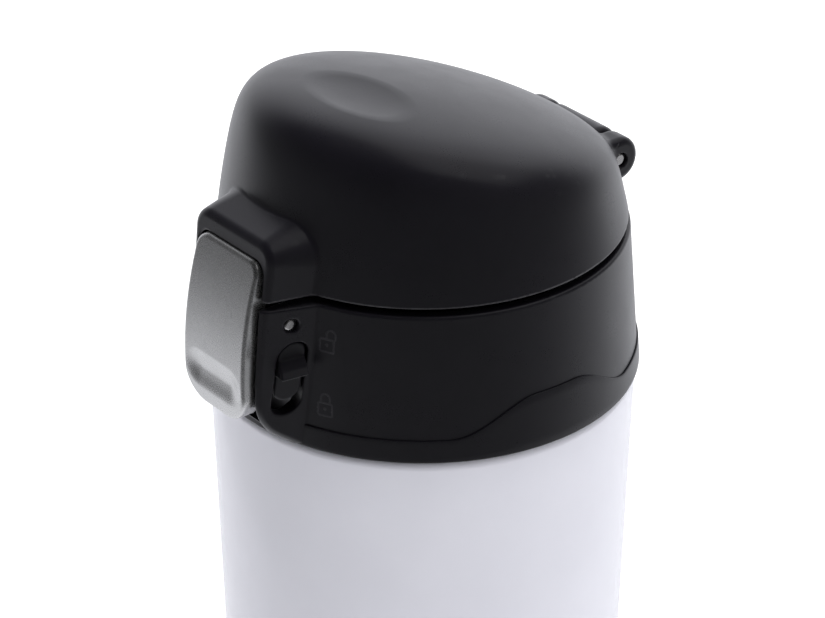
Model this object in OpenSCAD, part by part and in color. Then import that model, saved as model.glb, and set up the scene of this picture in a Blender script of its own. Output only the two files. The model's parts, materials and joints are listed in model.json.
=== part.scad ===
// Insulated travel mug with a screw-on collar, a flip lid, a release button and a lock slider.
// The origin is on the mug's axis, on the surface it stands on. +Z is up.
// The button is at -Y, the lid's hinge at +Y and the lock slider at +X.

/* [Flask] */
// Height of the collar's lower rim above the table
collar_z = 122; // [116:1:150]
// Outer radius of the body just under the collar
shell_r_top = 35.4; // [35.2:0.1:35.8]
// Outer radius of the body at its base
shell_r_base = 32.5; // [32:0.1:34]
// Thickness of the steel walls
steel_t = 0.6; // [0.5:0.05:0.7]
// Inner radius of the drink vessel below its neck
liner_r_top = 30.9; // [30:0.1:31.2]
// Inner radius of the drink vessel near its floor
liner_r_base = 28.9; // [27:0.1:29]
// Height of the drink vessel's floor
liner_floor_z = 8.6; // [8.5:0.1:10]
// Outer radius of the neck
neck_r = 30.9; // [30.8:0.05:31]
// Height of the neck's rim above the collar's lower rim
neck_h = 14; // [13.5:0.1:14]
// Thickness of the silicone foot ring
foot_t = 1; // [0.8:0.1:1.2]

/* [Screw thread] */
// Rise of the lid in one turn
thread_lead = 10; // [9:0.5:11]
// Number of thread starts
thread_starts = 2; // [2:1:2]
// Length of each start in turns
thread_turns = 0.7; // [0.5:0.05:0.75]

/* [Collar] */
// Height of the collar
collar_h = 25.1; // [25:0.1:25.6]
// Outer radius at the collar's lower rim
collar_r_low = 36; // [35.9:0.1:36.5]
// Outer radius at the collar's upper rim
collar_r_top = 33.95; // [33.9:0.01:34.3]
// Half width of the front block at its front
block_front_w = 9.56; // [9.4:0.02:10]
// Half width of the front block where it meets the collar
block_root_w = 12.4; // [12.3:0.05:13]
// Half width of the button's pocket
pocket_w = 8.35; // [8.3:0.05:8.5]

/* [Lid] */
// Gap between the collar and the closed lid
lid_gap = 1.1; // [0.9:0.05:1.2]
// Outer radius of the lid's lower edge
lid_r = 33.55; // [33.4:0.05:33.8]
// Height of the dome's middle above the collar's lower rim
dome_z = 48.8; // [48.6:0.1:50]
// Fall of the dome's top towards the hinge, in mm per mm
dome_slope = 0.254; // [0.24:0.002:0.27]
// Power of the curve that rounds the dome's edge: a larger one is squarer
dome_power = 10; // [8:0.5:12]
// Thickness of the lid's wall
lid_wall = 2.2; // [2:0.1:2.3]

/* [Hinge] */
// Distance of the hinge pin behind the mug's axis
hinge_y = 33; // [33:0.1:33.4]
// Height of the hinge pin above the collar's lower rim
hinge_z = 29.3; // [29.2:0.1:29.6]
// Radius of the hinge pin
hinge_pin_r = 1.1; // [1:0.05:1.2]
// Radius of the hinge knuckles
knuckle_r = 3.9; // [3.8:0.05:4]

/* [Button] */
// Distance of the button's pin in front of the mug's axis
button_y = 35.3; // [35.2:0.1:35.5]
// Height of the button's pin above the collar's lower rim
button_z = 22; // [21.8:0.1:22.2]
// Radius of the button's pin
button_pin_r = 1; // [0.9:0.05:1.05]
// Half width of the button
button_w = 7.9; // [7.8:0.05:7.95]
// Height of the button's lower edge above the collar's lower rim
button_low_z = 4.2; // [4:0.1:4.6]
// Height of the button's upper edge above the collar's lower rim
button_top_z = 32; // [31.5:0.1:32]
// Radius of the button's lower corners
chin_r = 5.3; // [4:0.1:5.8]
// Radius of the button's upper corners
brow_r = 2.4; // [2.2:0.1:3]

/* [Lock slider] */
// Half width of the slider's slot
slot_w = 2.7; // [2.6:0.05:2.8]
// Lower end of the slot above the collar's lower rim
slot_low_z = 6.2; // [6:0.1:6.3]
// Upper end of the slot above the collar's lower rim
slot_top_z = 19; // [18.9:0.1:19]
// Lean of the slot's upper end away from the button, in degrees
slot_lean = 8; // [6:0.5:9]

/* [Hidden] */

$fn = 96;
eps = 0.01;
run_gap = 0.06;

// Flask
shoulder_z = collar_z - 0.4;
foot_edge_r = 3.6;
neck_bore_r = neck_r - 2.3;
seat_z = collar_z - 4.4;
throat_r = neck_bore_r - 4;
base_flat_r = 27;

// Screw thread: a ridge's height, its width at the wall and its width at the crest
ridge_h = 1.2;
ridge_root_w = 1.8;
ridge_crest_w = 0.8;
ridge_steps = 36;
insert_r = neck_bore_r - 1.8;
insert_wall = 2;
insert_low_z = -2.5;
male_drop = 1.4;

// Collar
deck_z = neck_h + 0.3;
deck_t = 2;
well_r = 31.8;
skirt_bore_r = 33.2;
pocket_back_y = -32.7;
pocket_wall_t = 1.4;
pocket_floor_z = 1.5;
block_root_y = -32.5;
block_front_y = -39.5;
block_low_y = -41;

// Hinge: the collar's knuckle is in the middle and the lid's ears are outside it
knuckle_w = 6.5;
ear_in = 6.8;
ear_out = 11.5;
ear_sweep_r = knuckle_r + 0.35;
spring_pocket_r = 2.6;
spring_pocket_x = 1.5;

// Lid
lid_z = collar_h + lid_gap;
wall_draft = 0.165;
wall_swell = 0.0029;
dome_lean = 0.06;
dome_crown = [0.0042, 0.0051];
dome_rings = 14;
dimple_y = -13.1;
dimple_half = [10.6, 6.7];
dimple_deep = 0.6;
hood_root_y = -27;
hood_front_y = -38.7;

// Mouthpiece and seal: the lip's plane and the seal slope down towards the hinge
lip_z = 37;
lip_tilt = 13;
lip_r_out = 18.4;
lip_r_in = 16.6;
seal_t = 1.8;
retainer_t = 1.5;
liner_t = 1.5;
liner_bore_r = 21.6;
liner_flange_r = 30.6;

// Button: two arcs that meet at the bulge make its front
bulge_y = -42.5;
bulge_z = 11;
arc_up_r = 51.25;
arc_low_r = 60;
cap_t = 1.3;
cap_back_y = -35.9;
lever_w = 6.9;

// Lock slider: the face it sits in runs from the block's front corner to its root
face_angle = -atan2(block_root_w - block_front_w, block_root_y - block_front_y);
face_y = -35.8;
face_x = block_front_w
    + (block_root_w - block_front_w) * (face_y - block_front_y) / (block_root_y - block_front_y);
slot_mid_z = (slot_low_z + slot_top_z) / 2;
knob_low_z = slot_low_z + 2.3;
knob_top_z = slot_top_z - 0.2;

// Points along an arc
function arc(c, r, a0, a1, n = 8) =
    [for (i = [0:n]) let (a = a0 + (a1 - a0) * i / n) c + r * [cos(a), sin(a)]];

module at_collar() translate([0, 0, collar_z]) children();

// A cylinder along X, centred on x = 0
module x_rod(y, z, r, half) translate([-half, y, z]) rotate([0, 90, 0]) cylinder(r = r, h = 2 * half);

// A cylinder along X between two places
module x_pin(y, z, r, x0, x1) translate([x0, y, z]) rotate([0, 90, 0]) cylinder(r = r, h = x1 - x0);

// A slab between x0 and x1 whose outline is drawn in Y and Z
module x_slab(x0, x1) translate([x0, 0, 0]) rotate([90, 0, 90]) linear_extrude(x1 - x0) children();

// A box between two corners
module box(a, b) translate(a) cube(b - a);

// A ring between two radii and two heights
module ring(r0, r1, z0, z1) difference() {
    translate([0, 0, z0]) cylinder(r = r1, h = z1 - z0);
    translate([0, 0, z0 - 1]) cylinder(r = r0, h = z1 - z0 + 2);
}

// Faces of a tube swept through rings of k points each
function tube_faces(rings, k) = concat(
    [[for (j = [k - 1:-1:0]) j]],
    [for (i = [0:rings - 2]) for (j = [0:k - 1])
        [i * k + j, i * k + (j + 1) % k, (i + 1) * k + (j + 1) % k, (i + 1) * k + j]],
    [[for (j = [0:k - 1]) (rings - 1) * k + j]]);

// One start of a thread: a ridge that climbs round the wall and fades out at both ends
module ridge(r_wall, side, z0, turn0) {
    n = round(ridge_steps * thread_turns);
    pts = [for (i = [0:n])
        let (a = 360 * (turn0 + i / ridge_steps))
        let (z = z0 + thread_lead * i / ridge_steps)
        let (fade = min(1, 0.15 + min(i, n - i) / 3))
        for (c = [[-0.3, ridge_root_w + 0.4], [ridge_h * fade, ridge_crest_w],
                [ridge_h * fade, -ridge_crest_w], [-0.3, -ridge_root_w - 0.4]])
            let (r = r_wall + side * c[0])
            [r * cos(a), r * sin(a), z + c[1] / 2]];
    faces = tube_faces(n + 1, 4);
    polyhedron(pts, side > 0 ? [for (f = faces) [for (k = [len(f) - 1:-1:0]) f[k]]] : faces);
}

// All starts of one thread
module thread(r_wall, side, z0)
    for (s = [0:thread_starts - 1]) ridge(r_wall, side, z0, s / thread_starts);

// A coil spring along Z from z = 0, with the wire's centre at radius r
module coil(r, wire, length, turns, sides = 6, steps = 16) {
    n = round(turns * steps);
    pts = [for (i = [0:n])
        let (a = 360 * i / steps)
        let (z = wire + (length - 2 * wire) * i / n)
        for (j = [0:sides - 1])
            let (b = 360 * j / sides)
            [(r + wire * cos(b)) * cos(a), (r + wire * cos(b)) * sin(a), z + wire * sin(b)]];
    polyhedron(pts, tube_faces(n + 1, sides));
}

// ---------------------------------------------------------------- flask

module outer_shell() color("white") rotate_extrude() polygon(concat(
    [[base_flat_r, foot_t]],
    arc([shell_r_base - foot_edge_r, foot_t + foot_edge_r], foot_edge_r, -90, 0),
    arc([shell_r_top - 1.5, shoulder_z - 1.5], 1.5, 0, 90, 4),
    [[neck_r + 1, shoulder_z], [neck_r, shoulder_z + 1], [neck_r, collar_z + neck_h - steel_t],
        [neck_r - steel_t, collar_z + neck_h - steel_t], [neck_r - steel_t, shoulder_z + 0.8],
        [neck_r + 0.8, shoulder_z - steel_t]],
    arc([shell_r_top - 1.5, shoulder_z - 1.5], 1.5 - steel_t, 90, 0, 4),
    arc([shell_r_base - foot_edge_r, foot_t + foot_edge_r], foot_edge_r - steel_t, 0, -90),
    [[base_flat_r, foot_t + steel_t]]));

module outer_bottom() color("silver") difference() {
    rotate_extrude() polygon([[0, 5.5], [19.6, 5.5], [21.4, 1.6], [28.6, 1.6],
        [28.6, 2.2], [21.8, 2.2], [20, 6.1], [0, 6.1]]);
    translate([0, 0, 5]) cylinder(r = 1, h = 2);
}

module vacuum_plug() color("dimgray") translate([0, 0, 4.4]) cylinder(r = 2.5, h = 1.1);

module getter_pellet() color("gray") translate([0, 0, liner_floor_z - steel_t - 1.4])
    cylinder(r = 4, h = 1.4);

module inner_liner() color("lightgray") {
    rotate_extrude() polygon(concat(
        [[0, liner_floor_z]],
        arc([liner_r_base - 10, liner_floor_z + 10], 10, -90, 0),
        [[liner_r_top, seat_z - 6.6], [throat_r, seat_z - 1.2], [throat_r, seat_z - 0.4],
            [throat_r + 0.4, seat_z], [neck_bore_r, seat_z], [neck_bore_r, collar_z + neck_h],
            [neck_r, collar_z + neck_h], [neck_r, collar_z + neck_h - steel_t],
            [neck_bore_r + steel_t, collar_z + neck_h - steel_t],
            [neck_bore_r + steel_t, seat_z - steel_t], [throat_r + steel_t, seat_z - steel_t],
            [throat_r + steel_t, seat_z - 1], [liner_r_top + steel_t, seat_z - 6.4]],
        arc([liner_r_base - 10, liner_floor_z + 10], 10 + steel_t, 0, -90),
        [[0, liner_floor_z - steel_t]]));
    at_collar() thread(neck_bore_r, -1, 1.6);
}

module base_plate() color("silver") translate([0, 0, foot_t]) cylinder(r = base_flat_r - 0.1, h = 0.5);

module foot_pad() color("dimgray") difference() {
    cylinder(r = 28.8, h = foot_t);
    ring(19, 21, -foot_t / 2, foot_t / 2);
}

// ---------------------------------------------------------------- gasket that lifts with the lid

module neck_gasket() color("whitesmoke") at_collar() difference() {
    ring(throat_r + 0.3, insert_r - 0.1, -4.2, -2.7);
    ring(25.2, 26.3, -3.6, -2);
}

// ---------------------------------------------------------------- collar

// Side view of the front block
module block_side() x_slab(-15, 15) polygon([[-30, 0.4], [-30, collar_h], [block_front_y, collar_h],
    [block_low_y + 0.5, 16], [block_low_y, 8.5], [block_low_y + 0.25, 6.5], [block_low_y + 0.85, 4.6],
    [block_low_y + 1.8, 3], [block_low_y + 3.1, 1.9], [block_low_y + 4.6, 1.05], [-35, 0.4]]);

module block_plan() linear_extrude(collar_h) polygon([
    [-block_root_w - 1.14, block_root_y + 2.5], [-block_front_w, block_front_y],
    [-block_front_w + 0.7, block_low_y - 1], [block_front_w - 0.7, block_low_y - 1],
    [block_front_w, block_front_y], [block_root_w + 1.14, block_root_y + 2.5]]);

// Side view of the web that joins the middle knuckle to the collar
module knuckle_web() polygon([[hinge_y + 3.377, hinge_z - 1.95], [hinge_y + 1.2, hinge_z - 5.7],
    [hinge_y + 1.2, 20], [hinge_y - 0.5, 20], [hinge_y - 0.5, hinge_z - 6.9],
    [hinge_y - 3.377, hinge_z - 1.95]]);

// Places its children on the face that holds the slider: X out of the face, Y along it
module at_lock_face() translate([face_x, face_y, slot_mid_z]) rotate([-slot_lean, 0, face_angle])
    translate([0, 0, -slot_mid_z]) children();

module slot_shape(half, z0, z1, x0, x1) {
    r = half;
    box([x0, -half, z0 + r], [x1, half, z1 - r]);
    for (z = [z0 + r, z1 - r]) x_pin(0, z, r, x0, x1);
}

module collar_shell() color([0.09, 0.09, 0.1]) at_collar() {
    difference() {
        union() {
            rotate_extrude() polygon([[0, 0], [collar_r_low - 0.3, 0], [collar_r_low, 0.4],
                [collar_r_top, collar_h - 0.4], [collar_r_top - 0.4, collar_h], [0, collar_h]]);
            intersection() {
                block_side();
                block_plan();
            }
            x_rod(hinge_y, hinge_z, knuckle_r, knuckle_w);
            x_slab(-knuckle_w, knuckle_w) knuckle_web();
            x_slab(-ear_out, ear_out) polygon([[hinge_y + 3.377, hinge_z - 1.95],
                [hinge_y + 1.2, hinge_z - 5.7], [hinge_y - 0.2, hinge_z - 5.7],
                [hinge_y - 0.2, hinge_z - 4]]);
        }
        translate([0, 0, -1]) cylinder(r = skirt_bore_r, h = deck_z - 1 + 1);
        translate([0, 0, deck_z - 2]) cylinder(r = well_r - 0.6, h = 4);
        difference() {
            translate([0, 0, deck_z]) cylinder(r = well_r, h = 20);
            x_rod(hinge_y, hinge_z, knuckle_r, knuckle_w);
            x_slab(-knuckle_w, knuckle_w) knuckle_web();
        }
        box([-pocket_w, -50, pocket_floor_z], [pocket_w, pocket_back_y, collar_h + 1]);
        for (side = [-1, 1]) {
            x0 = side > 0 ? knuckle_w : -20;
            x_pin(hinge_y, hinge_z, ear_sweep_r, x0, x0 + 20 - knuckle_w);
            x1 = side > 0 ? 10.6 : -15;
            x_pin(-button_y, button_z, button_pin_r + 0.22, x1, x1 + 4.4);
        }
        x_rod(hinge_y, hinge_z, hinge_pin_r, knuckle_w + 1);
        x_pin(hinge_y, hinge_z, spring_pocket_r, -knuckle_w - 1, spring_pocket_x);
        x_rod(-button_y, button_z, button_pin_r, 14);
        at_lock_face() {
            slot_shape(slot_w, slot_low_z, slot_top_z, -3.3, 3);
            box([-5, -3.2, slot_low_z + 0.3], [-3, 1.7, slot_top_z - 1]);
        }
    }
    difference() {
        box([-11, pocket_back_y, pocket_floor_z - 1], [11, pocket_back_y + pocket_wall_t, collar_h]);
        translate([0, 0, -1]) cylinder(r = neck_r + 0.35, h = deck_z + 1);
        at_lock_face() {
            slot_shape(slot_w, slot_low_z, slot_top_z, -3.3, 3);
            box([-5, -3.2, slot_low_z + 0.3], [-3, 1.7, slot_top_z - 1]);
        }
    }
}

module screw_insert() color([0.12, 0.12, 0.13]) at_collar() {
    difference() {
        union() {
            ring(insert_r - insert_wall, insert_r, insert_low_z, deck_z + eps);
            ring(20, well_r, deck_z, deck_z + deck_t);
            ring(25.4, 26.1, -3.4, insert_low_z + eps);
        }
        box([-14, -40, deck_z - 1], [14, pocket_back_y + pocket_wall_t + 0.05, deck_z + deck_t + 1]);
    }
    thread(insert_r, 1, 1.6 - male_drop);
}

// Everything below the lip's slanted plane
module below_lip() translate([0, 0, lip_z]) rotate([-lip_tilt, 0, 0])
    translate([-60, -60, -100]) cube([120, 120, 100]);

module mouthpiece() color([0.1, 0.1, 0.11]) at_collar() intersection() {
    rotate_extrude() polygon([[17, 10.8], [19.2, 10.8], [20.4, 11.6], [20.4, 12.1], [19.8, 12.3],
        [19.8, deck_z + deck_t], [23.5, deck_z + deck_t], [23.5, deck_z + deck_t + 1.2],
        [21.2, deck_z + deck_t + 1.6], [19.1, deck_z + 9], [lip_r_out, 45], [lip_r_in, 45], [17, 24]]);
    below_lip();
}

module mouthpiece_gasket() color("whitesmoke") at_collar() ring(19.85, 22.2, 12.5, deck_z - 0.05);

// ---------------------------------------------------------------- pins and springs

module hinge_pin() color("silver") at_collar() x_rod(hinge_y, hinge_z, hinge_pin_r, ear_out - 0.4);

module hinge_spring() color("silver") at_collar() translate([-6.2, hinge_y, hinge_z])
    rotate([0, 90, 0]) coil(1.9, 0.35, 7.4, 7);

module button_pin() color("silver") at_collar() x_rod(-button_y, button_z, button_pin_r, 10.9);

module button_spring() color("silver") at_collar() translate([0, pocket_back_y - 0.05, 8])
    rotate([90, 0, 0]) coil(2, 0.35, 4.6, 4);

// ---------------------------------------------------------------- flip lid

// Radius of the dome's wall at a height
function wall_r(z, inset) = lid_r - inset - wall_draft * (z - lid_z) - wall_swell * pow(z - lid_z, 2);

// Height of the dome's top above a place, before its edge is rounded
function top_z(x, y, inset) =
    dome_z - inset - dome_slope * y - dome_crown[0] * x * x - dome_crown[1] * y * y;

// Place of a point in the direction a: c is its share of the wall's radius and t of the top's height
function dome_point(a, c, t, inset, z, n = 24) =
    let (x = c * wall_r(z, inset) * cos(a))
    let (y = c * wall_r(z, inset) * sin(a) - dome_lean * (z - lid_z))
    n == 0 ? [x, y, z]
        : dome_point(a, c, t, inset, 0.4 * z + 0.6 * (lid_z + t * (top_z(x, y, inset) - lid_z)), n - 1);

// The dome as a solid, drawn smaller by inset on every side and longer by drop at the bottom
module dome(inset, drop, sides) {
    last = (dome_rings - 1) * sides;
    pts = [for (i = [0:dome_rings - 1])
        let (u = 2 * i / dome_rings - 1)
        let (b = 45 + 20 * u + 25 * pow(u, 3))
        let (w = pow(pow(cos(b), dome_power) + pow(sin(b), dome_power), -1 / dome_power))
        for (j = [0:sides - 1])
            dome_point(-360 * j / sides, w * cos(b), w * sin(b), inset, lid_z)
                - [0, 0, i == 0 ? drop : 0]];
    polyhedron(concat(pts, [dome_point(0, 0, 1, inset, lid_z)]), concat(
        [[for (j = [sides - 1:-1:0]) j]],
        [for (i = [0:dome_rings - 2], j = [0:sides - 1])
            [i * sides + j, i * sides + (j + 1) % sides,
                (i + 1) * sides + (j + 1) % sides, (i + 1) * sides + j]],
        [for (j = [0:sides - 1]) [last + j, last + (j + 1) % sides, last + sides]]));
}

// The shallow dimple for a finger, as the barrel that cuts it
module dimple() {
    r_long = pow(dimple_half[0], 2) / (2 * dimple_deep);
    r_short = pow(dimple_half[1], 2) / (2 * dimple_deep);
    translate([0, dimple_y, top_z(0, dimple_y, dimple_deep)]) rotate([-atan(dome_slope), 0, 0])
        translate([0, 0, r_short]) rotate([0, 90, 0]) rotate_extrude() polygon(concat(
            [[0, -dimple_half[0] - 2]],
            arc([r_short - r_long, 0], r_long, -8, 8, 12),
            [[0, dimple_half[0] + 2]]));
}

// Cross-section of the hood: flat sides, a flat top and two round corners
module hood_section(y, half, top, r) translate([0, y, 0]) {
    for (side = [-1, 1]) translate([side * (half - r), 0, top - r]) rotate([90, 0, 0])
        cylinder(r = r, h = 0.4, $fn = 32);
    translate([-half, -0.4, lid_z]) cube([2 * half, 0.4, 1]);
}

module hood() hull() {
    hood_section(hood_root_y, 13.3, 38.4, 6);
    hood_section(hood_front_y + 1.4, 10.2, 35.7, 3.2);
    hood_section(hood_front_y + 0.4, 9.7, 34.6, 2.6);
}

// The outline of one ear, from its round knuckle to the dome
module ear_side() {
    translate([hinge_y, hinge_z]) circle(r = knuckle_r);
    polygon([[hinge_y - 6, hinge_z - 1], [hinge_y, hinge_z - 1], [hinge_y, hinge_z + knuckle_r],
        [hinge_y - 2, hinge_z + knuckle_r + 0.3], [hinge_y - 4, hinge_z + 6.5],
        [hinge_y - 6, hinge_z + 6.5]]);
}

module lid_shell() color([0.09, 0.09, 0.1]) at_collar() {
    difference() {
        union() {
            dome(0, 0, 72);
            hood();
            for (x0 = [-ear_out, ear_in]) x_slab(x0, x0 + ear_out - ear_in) ear_side();
        }
        dome(lid_wall, 1, 48);
        dimple();
        box([-8.3, -50, lid_z - 1], [8.3, -34.8, 32.4]);
        x_rod(hinge_y, hinge_z, ear_sweep_r, ear_in);
        x_rod(hinge_y, hinge_z, hinge_pin_r + run_gap, ear_out + 1);
        for (x0 = [-ear_out - 1, ear_out - 0.7]) x_pin(hinge_y, hinge_z, hinge_pin_r + 0.3, x0, x0 + 1.7);
        box([-20, 20, 10], [20, 40, lid_z - 1.2]);
    }
    box([-4, -35.4, lid_z + 0.5], [4, -34.3, lid_z + 1.8]);
}

// Places its children on the slanted plane of the lip, with Z out of it
module at_lip() translate([0, 0, lip_z]) rotate([-lip_tilt, 0, 0]) children();

module lid_liner() color([0.13, 0.13, 0.14]) at_collar() difference() {
    union() {
        ring(liner_bore_r, liner_flange_r, lid_z + 0.9, lid_z + 2.5);
        intersection() {
            ring(liner_bore_r, liner_bore_r + 1.6, lid_z + 0.9, 50);
            at_lip() translate([-60, -60, -60]) cube([120, 120, 60 + seal_t + retainer_t + 0.2 + eps]);
        }
        at_lip() translate([0, 0, seal_t + retainer_t + 0.2]) cylinder(r = liner_bore_r + 1.55, h = liner_t);
    }
    x_rod(hinge_y, hinge_z, ear_sweep_r, ear_in);
    x_rod(hinge_y, hinge_z, hinge_pin_r + run_gap, ear_out + 1);
}

module seal_retainer() color([0.13, 0.13, 0.14]) at_collar() at_lip()
    translate([0, 0, seal_t + 0.2]) cylinder(r = 17.5, h = retainer_t);

module lid_seal() color("whitesmoke") at_collar() at_lip() rotate_extrude() polygon([[0, 0.2], [0, 2],
    [19.6, 2], [19.6, 0.2], [15.8, 0.2], [15, -1.2], [14.2, -1.4], [13, 0.2]]);

// ---------------------------------------------------------------- release button

// Side view of everything behind the button's front between two heights, drawn smaller by inset
module button_side(inset, z0, z1) {
    r_up = arc_up_r - inset;
    r_low = arc_low_r - inset;
    polygon(concat(
        [[-20, z1]],
        arc([bulge_y + arc_up_r, bulge_z], r_up, 180 - asin((z1 - bulge_z) / r_up), 180, 12),
        arc([bulge_y + arc_low_r, bulge_z], r_low, 180, 180 + asin((bulge_z - z0) / r_low), 8),
        [[-20, z0]]));
}

// Front view of the button, drawn smaller by inset: its lower corners are rounder than its upper ones
module button_front(inset) {
    half = button_w - inset;
    low = button_low_z + inset;
    high = button_top_z - inset;
    r = chin_r - inset;
    r_top = max(brow_r - inset, 0.4);
    translate([0, -20, 0]) rotate([90, 0, 0]) linear_extrude(40) {
        translate([-half, low + r]) square([2 * half, high - low - r - r_top]);
        translate([-half + r, low]) square([2 * (half - r), r + 1]);
        translate([-half + r_top, low + r]) square([2 * (half - r_top), high - low - r]);
        for (x = [-1, 1]) {
            translate([x * (half - r), low + r]) circle(r = r);
            translate([x * (half - r_top), high - r_top]) circle(r = r_top);
        }
    }
}

// The space inside the button's rim that its lever fills
module button_room() intersection() {
    x_slab(-lever_w, lever_w) button_side(cap_t, button_low_z + 1, button_top_z - 1);
    button_front(1);
}

module button_cap() color("lightgray") at_collar() difference() {
    intersection() {
        x_slab(-button_w, button_w) button_side(0, button_low_z, button_top_z);
        button_front(0);
    }
    x_slab(-button_w - 1, button_w + 1) button_side(cap_t + 2, button_low_z - 1, button_top_z + 1);
    box([-button_w - 1, cap_back_y, 0], [button_w + 1, -30, 40]);
    button_room();
    translate([0, bulge_y - 2.7, 10.8]) {
        x_rod(0, 0, 3.6, 3.8);
        for (x = [-3.8, 3.8]) translate([x, 0, 0]) sphere(r = 3.6);
    }
}

module button_lever() color([0.1, 0.1, 0.11]) at_collar() difference() {
    union() {
        intersection() {
            button_room();
            x_slab(-lever_w, lever_w) polygon([[-60, 4.2], [-37.8, 4.2], [-37.8, 19], [-36.3, 24],
                [-36.3, 31], [-60, 31]]);
        }
        x_rod(-button_y, button_z, 2.4, lever_w);
        box([-lever_w, -38.4, button_z - 2], [lever_w, -button_y, button_z + 2]);
        box([-4, -36.4, 28.5], [4, -35.7, 30.2]);
    }
    x_rod(-button_y, button_z, button_pin_r + run_gap, lever_w + 1);
}

// ---------------------------------------------------------------- lock slider

module lock_knob() color([0.07, 0.07, 0.08]) at_collar() at_lock_face() intersection() {
    translate([0, 2.5, 0]) rotate([90, 0, 0]) linear_extrude(5) polygon(concat(
        [[-2.2, knob_low_z], [-0.5, knob_low_z], [-0.4, 12.8], [0.6, 13.5], [2.6, 14.1], [2.9, 15.2]],
        arc([5.2, 19.2], 4.65, -120, -172, 6),
        [[-0.3, knob_top_z - 0.1], [-0.8, knob_top_z], [-2.2, knob_top_z]]));
    slot_shape(2.5, knob_low_z, knob_top_z, -4, 4);
}

module lock_bar() color([0.1, 0.1, 0.11]) at_collar() {
    difference() {
        at_lock_face() box([-4.4, -1.2, 11], [-2.2, 1.2, 16]);
        box([0, -40, 0], [7.3, -30, 20]);
    }
    box([7.3, -36.2, 10], [8, -33.1, 17]);
    box([3.2, -34.4, 12], [7.4, -33.2, 14]);
}

outer_shell();
outer_bottom();
vacuum_plug();
getter_pellet();
inner_liner();
base_plate();
foot_pad();
neck_gasket();
collar_shell();
screw_insert();
mouthpiece();
mouthpiece_gasket();
hinge_pin();
hinge_spring();
button_pin();
button_spring();
lid_shell();
lid_liner();
seal_retainer();
lid_seal();
button_lever();
button_cap();
lock_knob();
lock_bar();
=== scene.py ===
import json
import math

import bpy
import numpy as np
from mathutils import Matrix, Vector


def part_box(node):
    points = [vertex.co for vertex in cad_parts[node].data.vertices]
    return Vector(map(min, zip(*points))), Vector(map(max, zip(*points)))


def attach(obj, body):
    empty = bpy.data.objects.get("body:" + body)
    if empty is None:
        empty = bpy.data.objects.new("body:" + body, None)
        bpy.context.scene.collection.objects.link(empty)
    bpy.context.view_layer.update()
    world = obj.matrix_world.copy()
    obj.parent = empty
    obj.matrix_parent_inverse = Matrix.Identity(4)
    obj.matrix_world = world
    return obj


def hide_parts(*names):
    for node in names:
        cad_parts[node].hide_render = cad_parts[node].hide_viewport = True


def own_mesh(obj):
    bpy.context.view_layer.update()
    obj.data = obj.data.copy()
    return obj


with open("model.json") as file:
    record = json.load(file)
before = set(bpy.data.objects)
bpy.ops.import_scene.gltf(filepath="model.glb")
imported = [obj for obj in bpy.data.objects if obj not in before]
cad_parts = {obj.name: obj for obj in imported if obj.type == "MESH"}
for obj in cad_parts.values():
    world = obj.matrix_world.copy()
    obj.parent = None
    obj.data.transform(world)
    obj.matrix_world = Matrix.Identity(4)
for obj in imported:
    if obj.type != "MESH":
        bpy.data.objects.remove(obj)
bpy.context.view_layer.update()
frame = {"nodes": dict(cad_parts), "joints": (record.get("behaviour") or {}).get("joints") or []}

# Lengths are in millimetres, with z measured from the collar's lower rim, until a mesh is made.
MM = 0.001
RIM_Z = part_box("collar_shell")[0].z
FINE = 1.0
FAR = 1000.0  # a distance that switches a cut off


def from_frame(point):
    """A point of the frame, in millimetres above the collar's rim."""
    return np.array([point[0], point[1], point[2] - RIM_Z]) / MM


def node_box(node):
    """Lowest and highest corner of a CAD node's box."""
    low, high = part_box(node)
    return from_frame(low), from_frame(high)


HINGE = from_frame(next(j["pos_m"] for j in frame["joints"] if j["name"] == "lid_flip"))
PIVOT = from_frame(next(j["pos_m"] for j in frame["joints"] if j["name"] == "button_press"))

# Collar, whose wall leans in by the draft
COLLAR_H = 25.1
COLLAR_R = 35.8
COLLAR_DRAFT = 0.078
SKIRT_PROUD = 0.28
SKIRT_BORE = 33.2
LEDGE_BORE = 31.2
WELL_R = 31.8
DECK_Z = 14.3

# Front block: half width and y of its front at the top, and how its sides spread to the root
BLOCK_FRONT = (9.56, -39.5)
BLOCK_FLARE = math.atan2(12.4 - 9.56, 7.0)
BLOCK_FACE = ([5, 12, 18, COLLAR_H + 1], [41.0, 40.9, 40.3, -BLOCK_FRONT[1]])  # heights and -y
BLOCK_UNDERCUT = math.radians(36)
BLOCK_BACK = -29.0
SPLIT_Y = -29.6
SPLIT_OVERLAP = 0.3

# Pocket in the block that holds the button
POCKET_W = 8.35
POCKET_BACK = -32.7
POCKET_FLOOR = 1.5

# Lid, with the dome's wall and top as slopes and curvatures
LID_Z = 26.2
LID_R = 33.55
LID_WALL = 2.2
LID_DRAFT = 0.165
LID_SWELL = 0.0029
LID_LEAN = 0.06
DOME_Z = 48.8
DOME_SLOPE = 0.254
DOME_CROWN = (0.0042, 0.0051)
DOME_SQUARENESS = 10
DIMPLE_HALF = (10.6, 6.7)
DIMPLE_Y = -13.1
DIMPLE_DEEP = 0.75

# Hood over the button: its section at HOOD_Y, how it spreads and rises, and its leaning front
HOOD_Y = -38.0
HOOD_HALF = 9.9
HOOD_TOP = 35.6
HOOD_FLARE = math.atan(0.3)
HOOD_RISE = math.atan(0.257)
HOOD_FRONT = -39.1
HOOD_LEAN = math.atan(0.128)

# Window in the hood's front that the button shows through
WINDOW_HALF = (8.3, 10.1)
WINDOW_Z = 22.4
WINDOW_R = 2.2
WINDOW_BACK = -34.8

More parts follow.
